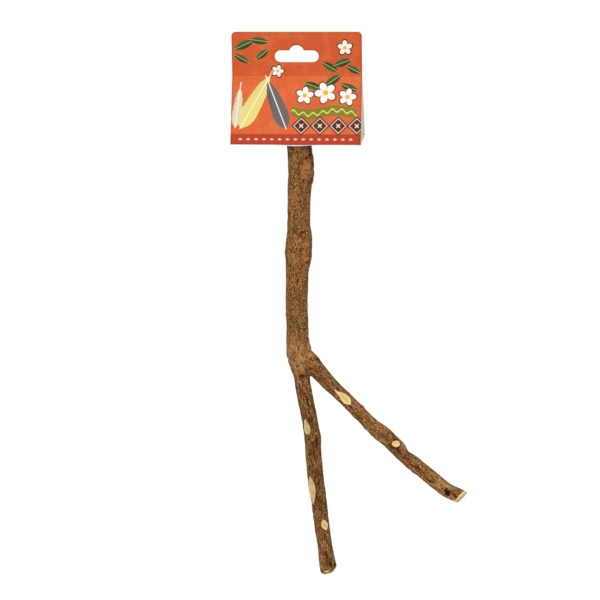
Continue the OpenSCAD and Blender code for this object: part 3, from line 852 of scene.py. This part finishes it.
CARD_W, CARD_T, TENT_DEPTH = 94.4 * MM, 0.5 * MM, 39.5 * MM
CREASE, TAB_H, CORNER_R = 47.8 * MM, 31.4 * MM, 3 * MM
SLOT_LENGTH, SLOT_H, SLOT_RISE = 32 * MM, 8.5 * MM, 13.7 * MM
NOTCH_W, NOTCH_H, STUD_HOLE_R = 11 * MM, 3.8 * MM, 3.6 * MM
COLUMNS, BELLY, SAG = 36, 0.35 * MM, 0.25 * MM


def card_line():
    """The strip seen from its end: points from the front tab's top, round the tent, to the back tab's."""
    half, fold = CARD_T / 2, 0.55 * MM
    foot = TENT_DEPTH / 2 - half
    front = [(-half - 0.01 * MM, CREASE + TAB_H * s) for s in (1, .8, .6, .4, .2, .05)]
    down = Vector((-foot, half)) - Vector((-half, CREASE))
    front += [tuple(Vector((-half, CREASE)) + down * s) for s in (.02, .12, .25, .4, .55, .7, .85, .95, .985)]
    for turn in (20, 60, 100):
        angle = math.radians(turn)
        front.append((-foot + fold * (1 - math.sin(angle)) * 0.6,
                      half + fold * (1 - math.cos(angle * 0.5)) * 0.2))
    floor = [(-foot * s, half) for s in (.94, .8, .6, .4, .2)]
    back = [(-y, z) for y, z in reversed(front)]
    return front + floor + [(0, half)] + [(-y, z) for y, z in reversed(floor)] + back


bm = bmesh.new()
strip = [bm.verts.new((-CARD_W / 2, y, z)) for y, z in card_line()]
lines = [bm.edges.new(pair) for pair in zip(strip, strip[1:])]
for i in range(COLUMNS):
    grown = bmesh.ops.extrude_edge_only(bm, edges=lines)["geom"]
    bmesh.ops.translate(bm, verts=only(bmesh.types.BMVert, grown), vec=(CARD_W / COLUMNS, 0, 0))
    lines = only(bmesh.types.BMEdge, grown)
# The panels bow a little, and the front fold sags where the washer presses the floor
for vert in bm.verts:
    x, y, z = vert.co
    if z < CREASE:
        belly = math.sin(math.pi * min(max(z / CREASE, 0), 1))
        way = -1 if y < 0 else 1
        vert.co.y += way * BELLY * belly * (0.5 + noise.noise(Vector((x / 0.04, way * 2, z / 0.05))))
    sag = max(0, 1 - (x / (17 * MM)) ** 2) if abs(y) > TENT_DEPTH * 0.3 and z < 4 * MM else 0
    vert.co.z -= SAG * sag
face_out(bm)
for face in bm.faces:
    face.smooth = True

# The print's motifs, in mm from the middle of the crease. Leaves have their place, turn, length and width,
# feathers the same with a pale and a dark colour, blossoms their place, size and turn, and diamonds their
# place along a row
LEAVES = (
    (-38, 22, 24, 17, 6), (-27, 25, -8, 15, 5.5), (-40, 12, -30, 14, 5), (-25, 15, 38, 13, 5),
    (24, 6, 150, 15, 5.4), (33, 9, 20, 15, 5.6), (41, 4, -28, 13, 5), (12, -8, 160, 15, 5.5),
    (26, -4, 35, 16, 6), (38, -9, -20, 15, 5.4))
FEATHERS = (
    (-30, -20, 62, 44, 10.5, (238, 222, 128), (206, 196, 120)),
    (-14, -22, 112, 38, 9.5, (112, 106, 110), (64, 60, 64)),
    (-42.5, -24, 84, 30, 6, (226, 222, 186), (176, 166, 130)))
BLOSSOMS = ((6, -15, 13, 10), (21, -13, 16, 40), (37, -16, 13, 75), (-14, 3, 9, 0), (35, 20, 11, 20))
DIAMONDS, DIAMOND_ROW, BEAD_ROW, RIBBON_ROW = (4, 17.4, 30.8, 44.2), -37.4, -47.4, -27.5


def printed_finish():
    """Printed card: an orange ground with a darker band at the foot, under a plain print of motifs."""
    made, wire, plug = finish("printed_card", Roughness=0.5, Specular_IOR_Level=0.15)
    spot = wire.add("TexCoord", out=3)
    x, y, z = spot.split()
    x = x * (y * -1000).step(-0.01, 0.01) * 2000 - x * 1000   # mirrored on the back, in mm from the middle
    rise = z * 1000 - CREASE * 1000
    v = rise.largest(0) + rise.least(0) * 1.083               # mm up the sheet from the crease
    mist = spot.grains(60, 3, 0.6)
    fibre = spot.grains(1500, 2, 0.6)
    swirl = spot.grains(95, 4, 0.6, 2.5)
    colour = wire.colour(paint(224, 102, 50)).under(
        # The tab above the crease is a little darker, as painted shade on the upright tab
        ((212, 90, 40), v.step(-2, 2)),
        ((236, 124, 72), mist.step(0.45, 0.7) * 0.5),
        ((204, 82, 36), swirl.step(0.5, 0.56) * swirl.step(0.62, 0.56) * 0.45),
        ((188, 62, 34), v.step(-43.4, -43.7)))

    def local(cx, cy, turn):
        """Distances along and across a motif that stands at a place and a turn."""
        c, s = turned(turn)
        return (x - cx) * c + (v - cy) * s, (v - cy) * c - (x - cx) * s

    for cx, cy, turn, length, width in LEAVES:
        p, q = local(cx, cy, turn)
        share = p * (2 / length)
        leaf = (width / 2 * (1 - share * share) - abs(q)).step(0, 0.25)
        colour = colour.under(
            ((44, 70, 36), leaf),
            ((84, 112, 54), leaf * q.step(-0.2, width * 0.4) * 0.7),
            ((178, 196, 110), leaf * abs(q).step(0.42, 0.18) * 0.8))
    for cx, cy, turn, length, width, pale, dark in FEATHERS:
        p, q = local(cx, cy, turn)
        share = p * (2 / length)
        vane = width / 2 * (1 - share * share * share * share) * (1.1 - share * 0.35)
        frayed = (vane - abs(q) + (p * 2.1 + abs(q) * 2.6).wave() * 0.18).step(0, 0.3)
        body = frayed * abs(share).step(1, 0.97)
        barbs = (p * 5 + abs(q) * 6).wave()
        quill = abs(q).step(0.5, 0.28) * abs(share - 0.12).step(1.16, 1.12)
        colour = colour.under(
            (pale, body),
            (dark, body * barbs.step(0.2, 1) * 0.45),
            (dark, body * (q * share.step(-1, 1)).step(0.2, width * 0.5) * 0.6),
            ((250, 240, 214), quill))
    ribbon = v - RIBBON_ROW + (x * 0.16).wave() * 1.6
    band = (3.9 - abs(ribbon)).step(0, 0.3) * x.step(-3.6, -3.2) * x.step(44.2, 43.8)
    colour = colour.under(
        ((132, 128, 44), band),
        ((226, 218, 96), band * abs((x * 0.9).wave() * 1.2 + ribbon).step(0.75, 0.45)))
    for cx, cy, size, turn in BLOSSOMS:
        p, q = local(cx, cy, turn)
        reach = (p * p + q * q).root()
        petals = abs((q.angle(p) * 2.5).cosine())
        edge = size / 2 * (0.52 + petals * 0.48) - reach
        colour = colour.under(
            ((104, 46, 30), edge.step(-1, -0.7)),
            ((252, 250, 244), edge.step(0, 0.25)),
            ((236, 206, 160), edge.step(0.3, 0.6) * petals.step(0.55, 0.1) * 0.8),
            ((238, 188, 52), reach.step(size * 0.13, size * 0.11)))
    for cx in DIAMONDS:
        p, q = local(cx, DIAMOND_ROW, 45)
        far, near = abs(p).largest(abs(q)), abs(p).least(abs(q))
        tile = 5.2 - far
        colour = colour.under(
            ((84, 40, 28), tile.step(0, 0.25)),
            ((236, 214, 192), abs(tile - 1.3).step(0.4, 0.2)),
            ((236, 214, 192), (1.5 - near * 3 - far).step(-1.2, -0.9) * tile.step(1.9, 2.2)))
    beads = (abs(v - BEAD_ROW) + (1 - (x * 1.1 + math.pi / 2).wave()) * 0.75).step(1, 0.7)
    colour = colour.under(((244, 206, 186), beads * abs(x).step(43.2, 42.8) * 0.85))

    # The crease and the foot's fold are darker, as painted shade, and the cream of the card shows in scuffs
    # on the fold, which are partly wear and partly a painted highlight along the fold's edge
    scuffs_and_painted_highlight = spot.grains(420, 3, 0.7)
    colour = colour.under(
        ((176, 60, 32), abs(v).step(0.4, 0.1) * 0.6),
        ((96, 40, 26), (z * 1000).step(0.8, 0.3) * 0.85),
        ((238, 226, 200), (z * 1000).step(0.75, 0.1) * scuffs_and_painted_highlight.step(0.58, 0.66) * 0.9),
        ((170, 60, 34), fibre.step(0.5, 0.8) * 0.1))
    plug(Base_Color=colour, Roughness=0.46 + fibre * 0.16, Normal=fibre.bump(0.12, 0.05 * MM))
    return made


def plain_card_finish(name, tone):
    """Unprinted card: cream board with fine fibres."""
    made, wire, plug = finish(name, Roughness=0.85, Specular_IOR_Level=0.1)
    spot = wire.add("TexCoord", out=3)
    fibre, cloud = spot.grains(1700, 3, 0.6), spot.grains(120, 2)
    colour = wire.colour(paint(*tone)).under(
        ([c * 0.93 for c in tone], fibre.step(0.45, 0.7) * 0.6),
        ([c * 0.95 for c in tone], cloud.step(0.4, 0.65) * 0.6))
    plug(Base_Color=colour, Roughness=0.78 + fibre * 0.16, Normal=fibre.bump(0.25, 0.05 * MM))
    return made


card_finishes = (printed_finish(), plain_card_finish("card_inside", (248, 244, 228)),
                 plain_card_finish("card_edge", (232, 222, 192)))
card = mesh_object("folded_card", bm, *card_finishes)


def arc(cx, cz, r, start, stop, steps):
    """Points of an outline round part of a circle, between two angles."""
    ways = (turned(start + (stop - start) * i / steps) for i in range(steps + 1))
    return [(cx + r * c, cz + r * s) for c, s in ways]


# The knife cuts the stud's hole, the hang slot with its notch, and the tab's two round corners
PAST = 3 * MM          # how far the knife reaches past the card
bm = bmesh.new()
rod(bm, STUD_HOLE_R, 2 * PAST, Matrix())
slot_z, end_x = CREASE + SLOT_RISE, (SLOT_LENGTH - SLOT_H) / 2
notch_z = slot_z + SLOT_H / 2 + NOTCH_H - NOTCH_W / 2
meet = math.degrees(math.asin((slot_z + SLOT_H / 2 - notch_z) / (NOTCH_W / 2)))
block(bm, arc(end_x, slot_z, SLOT_H / 2, -90, 90, 14) + arc(0, notch_z, NOTCH_W / 2, meet, 180 - meet, 20)
      + arc(-end_x, slot_z, SLOT_H / 2, 90, 270, 14), PAST)
high, wide = CREASE + TAB_H, CARD_W / 2
corner = arc(wide - CORNER_R, high - CORNER_R, CORNER_R, 0, 90, 10) + [
    (wide - CORNER_R, high + PAST), (wide + PAST, high + PAST), (wide + PAST, high - CORNER_R)]
for way in (1, -1):
    block(bm, [(way * x, z) for x, z in corner], PAST)
face_out(bm)
for face in bm.faces:
    face.material_index = 2
knife = mesh_object("knife", bm, *card_finishes)
cut_card = shaped_by(
    card, SOLIDIFY={"thickness": CARD_T, "offset": 0, "material_offset": 1, "material_offset_rim": 2},
    BOOLEAN={"object": knife, "operation": "DIFFERENCE"})
card.modifiers.clear()
card.data = cut_card
bpy.data.objects.remove(knife)
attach(card, "card")
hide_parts("header_card")
